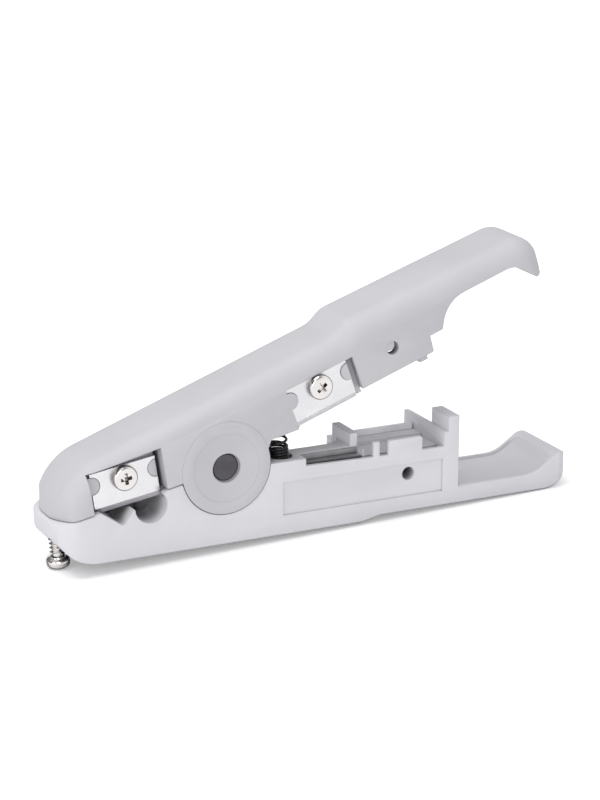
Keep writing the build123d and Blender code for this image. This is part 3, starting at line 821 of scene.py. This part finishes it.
@dataclass
class ReturnSpring:
    """The black coil spring: turns packed at its foot, then an open turn to its seat."""

    foot: Point = (14.8 * MM, -4.9 * MM, 13.7 * MM)
    coil_radius: float = 2.0 * MM
    wire_radius: float = 0.3 * MM
    packed_turns: float = 7.5
    packed_pitch: float = 0.68 * MM
    open_turns: float = 3.8
    height: float = 11.9 * MM
    lean: float = -1.3 * MM
    start_angle: float = 200.0
    steps_per_turn: int = 16
    smooth_angle: float = 60.0
    squeezed_share: float = 0.62

    def build(self, finish: bpy.types.Material) -> bpy.types.Object:
        """Makes the spring.

        Args:
            finish: Its wire's finish.

        Returns:
            The spring.
        """
        bpy.ops.object.select_all(action="DESELECT")
        bpy.ops.curve.primitive_nurbs_path_add()
        spring = bpy.context.object
        spring.name = "return_spring_coil"
        curve = spring.data
        curve.splines.clear()
        wire = curve.splines.new("NURBS")
        route = self.route()
        wire.points.add(len(route) - 1)
        for point, place in zip(wire.points, route):
            point.co = (*place, 1)
        wire.order_u = 4
        wire.use_endpoint_u = True
        wire.resolution_u = 3
        curve.bevel_depth = self.wire_radius
        curve.bevel_resolution = 3
        curve.use_fill_caps = True
        only(spring)
        bpy.ops.object.convert(target="MESH")
        spring = bpy.context.object
        settle(spring, Matrix.Identity(4), self.smooth_angle)
        dress(spring, finish)
        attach(spring, "lower")
        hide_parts("return_spring")
        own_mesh(spring)
        return spring

    def route(self) -> list[Point]:
        """Follows the middle of the wire from the foot to the top.

        Returns:
            Points along the wire.
        """
        total = self.packed_turns + self.open_turns
        packed = self.packed_turns * self.packed_pitch
        rest = self.height - 2 * self.wire_radius - packed
        points = []
        for count in range(int(total * self.steps_per_turn) + 1):
            turn = count / self.steps_per_turn
            if turn < self.packed_turns:
                rise = turn * self.packed_pitch
            else:
                share = (turn - self.packed_turns) / self.open_turns
                rise = packed + rest * share
            angle = math.radians(360 * turn + self.start_angle)
            slide = self.lean * rise / self.height
            points.append(
                (
                    self.foot[0] + self.coil_radius * math.cos(angle) + slide,
                    self.foot[1] + self.coil_radius * math.sin(angle),
                    self.foot[2] + self.wire_radius + rise,
                )
            )
        return points


@dataclass
class BareNodes:
    """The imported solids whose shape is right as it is: blades, anvil and pin."""

    blades: tuple[str, ...] = ("stripping_blade", "cutter_blade")
    strips: tuple[str, ...] = ("lower_flat_blade", "upper_flat_blade")
    anvil: tuple[str, ...] = ("cutter_anvil",)
    pin: tuple[str, ...] = ("pivot_pin",)

    def build(self, *finishes: bpy.types.Material) -> list[bpy.types.Object]:
        """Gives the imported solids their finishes.

        Args:
            *finishes: Finishes of the blades, the flat strips, the anvil and the pin.

        Returns:
            The solids.
        """
        made = []
        for names, finish in zip((self.blades, self.strips, self.anvil, self.pin), finishes):
            for name in names:
                node = frame["nodes"][name]
                dress(node, finish)
                made.append(node)
        return made


# Floor, light and camera


@dataclass(frozen=True)
class Lamp:
    """A soft square lamp."""

    name: str
    place: Point
    size: float
    watts: float
    aim: Point = (0.02, 0.0, 0.02)

    def build(self) -> None:
        """Hangs the lamp and turns it to the point that it faces."""
        bpy.ops.object.select_all(action="DESELECT")
        bpy.ops.object.light_add(type="AREA", location=self.place)
        lamp = bpy.context.object
        lamp.name = self.name
        lamp.data.shape = "SQUARE"
        lamp.data.size = self.size
        lamp.data.energy = self.watts
        lamp.rotation_euler = (Vector(self.place) - Vector(self.aim)).to_track_quat("Z", "Y").to_euler()


@dataclass
class Studio:
    """The pale floor, the soft lights and the camera."""

    rest_front: Point = (-35.2 * MM, 0.0, -2.72 * MM)
    rest_rear: Point = (79.0 * MM, 0.0, 0.98 * MM)
    floor_size: float = 4.0
    floor_tone: Colour = (0.93, 0.93, 0.935)
    camera_place: Point = (-0.2352, -0.5225, 0.2050)
    azimuth: float = -26.2
    elevation: float = 17.0
    roll: float = 0.3
    lens: float = 126.0
    sensor: float = 36.0
    clip: tuple[float, float] = (0.01, 20.0)
    world_tone: Colour = (0.98, 0.98, 1.0)
    world_level: float = 0.68
    mirror_levels: tuple[tuple[float, float], ...] = (
        (0.25, 0.10),
        (0.45, 0.85),
        (0.62, 0.30),
        (0.8, 1.0),
    )
    floor_glow: float = 0.26
    floor_shade: float = 0.995
    floor_clouds: float = 6.0
    floor_roughness: float = 0.9
    floor_specular: float = 0.1
    lamps: tuple[Lamp, ...] = (
        Lamp("key", (-0.20, 0.05, 0.75), 0.50, 2.7),
        Lamp("front", (-0.35, -0.80, 0.30), 0.60, 1.9),
        Lamp("low_left", (-0.70, -0.30, 0.10), 0.45, 0.9, (-0.03, 0.0, 0.01)),
    )

    def build(self) -> None:
        """Builds the floor, lights and camera."""
        self.floor()
        self.world()
        for lamp in self.lamps:
            lamp.build()
        self.camera()

    def floor(self) -> None:
        """Lays the floor under the two points that the tool rests on."""
        run = Vector(self.rest_rear) - Vector(self.rest_front)
        floor = start(bpy.ops.mesh.primitive_plane_add, size=self.floor_size)
        floor.name = "floor"
        floor.location = Vector(self.rest_front)
        floor.rotation_euler = (0, -math.atan2(run.z, run.x), 0)
        board = Board("pale_floor")
        cloud = board.noise(self.floor_clouds, 2)
        darker = tuple(part * self.floor_shade for part in self.floor_tone)
        tone = board.tint(cloud, darker, self.floor_tone)
        board.join(tone, board.shader.inputs["Base Color"])
        board.shader.inputs["Roughness"].default_value = self.floor_roughness
        board.shader.inputs["Specular IOR Level"].default_value = self.floor_specular
        path = board.add("ShaderNodeLightPath", 400)
        glow = board.add("ShaderNodeEmission", 600, Strength=self.floor_glow)
        lit = board.add("ShaderNodeAddShader", 700)
        seen = board.add("ShaderNodeMixShader", 800)
        board.join(board.shader.outputs["BSDF"], lit.inputs[0])
        board.join(glow.outputs["Emission"], lit.inputs[1])
        board.join(path.outputs["Is Camera Ray"], seen.inputs["Fac"])
        board.join(board.shader.outputs["BSDF"], seen.inputs[1])
        board.join(lit.outputs["Shader"], seen.inputs[2])
        board.join(seen.outputs["Shader"], board.output.inputs["Surface"])
        dress(floor, board.material)

    def world(self) -> None:
        """Sets an even white world, white behind the tool, with darker parts only in reflections."""
        world = bpy.data.worlds.new("studio")
        bpy.context.scene.world = world
        world.use_nodes = True
        nodes, links = world.node_tree.nodes, world.node_tree.links
        nodes.clear()
        output = nodes.new("ShaderNodeOutputWorld")
        path = nodes.new("ShaderNodeLightPath")
        even = nodes.new("ShaderNodeBackground")
        even.inputs["Color"].default_value = (*self.world_tone, 1)
        even.inputs["Strength"].default_value = self.world_level
        white = nodes.new("ShaderNodeBackground")
        white.inputs["Strength"].default_value = 1.0
        place = nodes.new("ShaderNodeTexCoord")
        split = nodes.new("ShaderNodeSeparateXYZ")
        ramp = nodes.new("ShaderNodeValToRGB")
        for position, level in self.mirror_levels:
            stop = ramp.color_ramp.elements.new(position)
            stop.color = (level, level, level, 1)
        spread = nodes.new("ShaderNodeMapRange")
        spread.inputs["From Min"].default_value = -1
        mirror = nodes.new("ShaderNodeBackground")
        mirror.inputs["Strength"].default_value = 1.0
        links.new(place.outputs["Generated"], split.inputs["Vector"])
        links.new(split.outputs["X"], spread.inputs["Value"])
        links.new(spread.outputs["Result"], ramp.inputs["Fac"])
        links.new(ramp.outputs["Color"], mirror.inputs["Color"])
        glossy = nodes.new("ShaderNodeMixShader")
        links.new(path.outputs["Is Glossy Ray"], glossy.inputs["Fac"])
        links.new(even.outputs["Background"], glossy.inputs[1])
        links.new(mirror.outputs["Background"], glossy.inputs[2])
        seen = nodes.new("ShaderNodeMixShader")
        links.new(path.outputs["Is Camera Ray"], seen.inputs["Fac"])
        links.new(glossy.outputs["Shader"], seen.inputs[1])
        links.new(white.outputs["Background"], seen.inputs[2])
        links.new(seen.outputs["Shader"], output.inputs["Surface"])

    def camera(self) -> None:
        """Sets the camera as the photograph's was."""
        turn, tilt, roll = (math.radians(angle) for angle in (self.azimuth, self.elevation, self.roll))
        level = Vector((math.sin(turn), -math.cos(turn), 0))
        back = level * math.cos(tilt) + Vector((0, 0, math.sin(tilt)))
        right = Vector((math.cos(turn), math.sin(turn), 0))
        up = back.cross(right)
        across = right * math.cos(roll) + up * math.sin(roll)
        above = up * math.cos(roll) - right * math.sin(roll)
        data = bpy.data.cameras.new("camera")
        data.lens = self.lens
        data.sensor_width = self.sensor
        data.sensor_fit = "AUTO"
        data.clip_start, data.clip_end = self.clip
        camera = bpy.data.objects.new("camera", data)
        bpy.context.scene.collection.objects.link(camera)
        turned = Matrix((across, above, back)).transposed().to_4x4()
        camera.matrix_world = Matrix.Translation(self.camera_place) @ turned
        bpy.context.scene.camera = camera


def main() -> None:
    """Dresses the whole tool and sets the studio."""
    logging.basicConfig(level=logging.INFO, format="%(name)s: %(message)s")
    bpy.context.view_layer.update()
    lower_plastic = MouldedPlastic("lower_plastic").build()
    # The upper handle is the same plastic as the lower one: its darker tint and its wider, stronger hollow
    # darkening are painted shade.
    upper_plastic_painted_shade = MouldedPlastic(
        "upper_plastic_painted_shade",
        (0.500, 0.494, 0.516),
        (0.532, 0.526, 0.547),
        hollow_shade_reach=16 * MM,
        hollow_shade_bare=0.60,
    ).build()
    blade_steel = Metal("blade_steel", (0.80, 0.79, 0.80), (0.86, 0.85, 0.86), 0.26, 0.34).build()
    strip_steel = Metal(
        "strip_steel", (0.80, 0.80, 0.81), (0.92, 0.92, 0.93), 0.46, 0.62, relief=0.4, metallic=0.35
    ).build()
    # The nickel's rim value paints a dark shade round the rims of the screw heads.
    nickel = Metal(
        "screw_nickel", (0.80, 0.77, 0.75), (0.88, 0.85, 0.83), 0.10, 0.18, stretch=(1, 1, 1), rim=0.22
    ).build()
    pin_steel = Metal(
        "pin_steel", (0.085, 0.080, 0.090), (0.12, 0.115, 0.125), 0.42, 0.55, metallic=0.7
    ).build()
    black_wire = Metal(
        "black_wire", (0.010, 0.010, 0.012), (0.022, 0.021, 0.024), 0.20, 0.34, metallic=0.3
    ).build()
    anvil_steel = Metal(
        "anvil_steel", (0.34, 0.335, 0.345), (0.46, 0.455, 0.465), 0.34, 0.5, relief=0.25
    ).build()
    made = Mouldings().build(lower_plastic, upper_plastic_painted_shade)
    made += BareNodes().build(blade_steel, strip_steel, anvil_steel, pin_steel)
    made += BladeScrews().build(nickel)
    made.append(DepthScrew().build(nickel))
    made.append(ReturnSpring().build(black_wire))
    for piece in made:
        log.info("%s: %d faces", piece.name, len(piece.data.polygons))
    Studio().build()
    bpy.context.scene.view_settings.view_transform = "Standard"


if __name__ == "__main__":
    main()
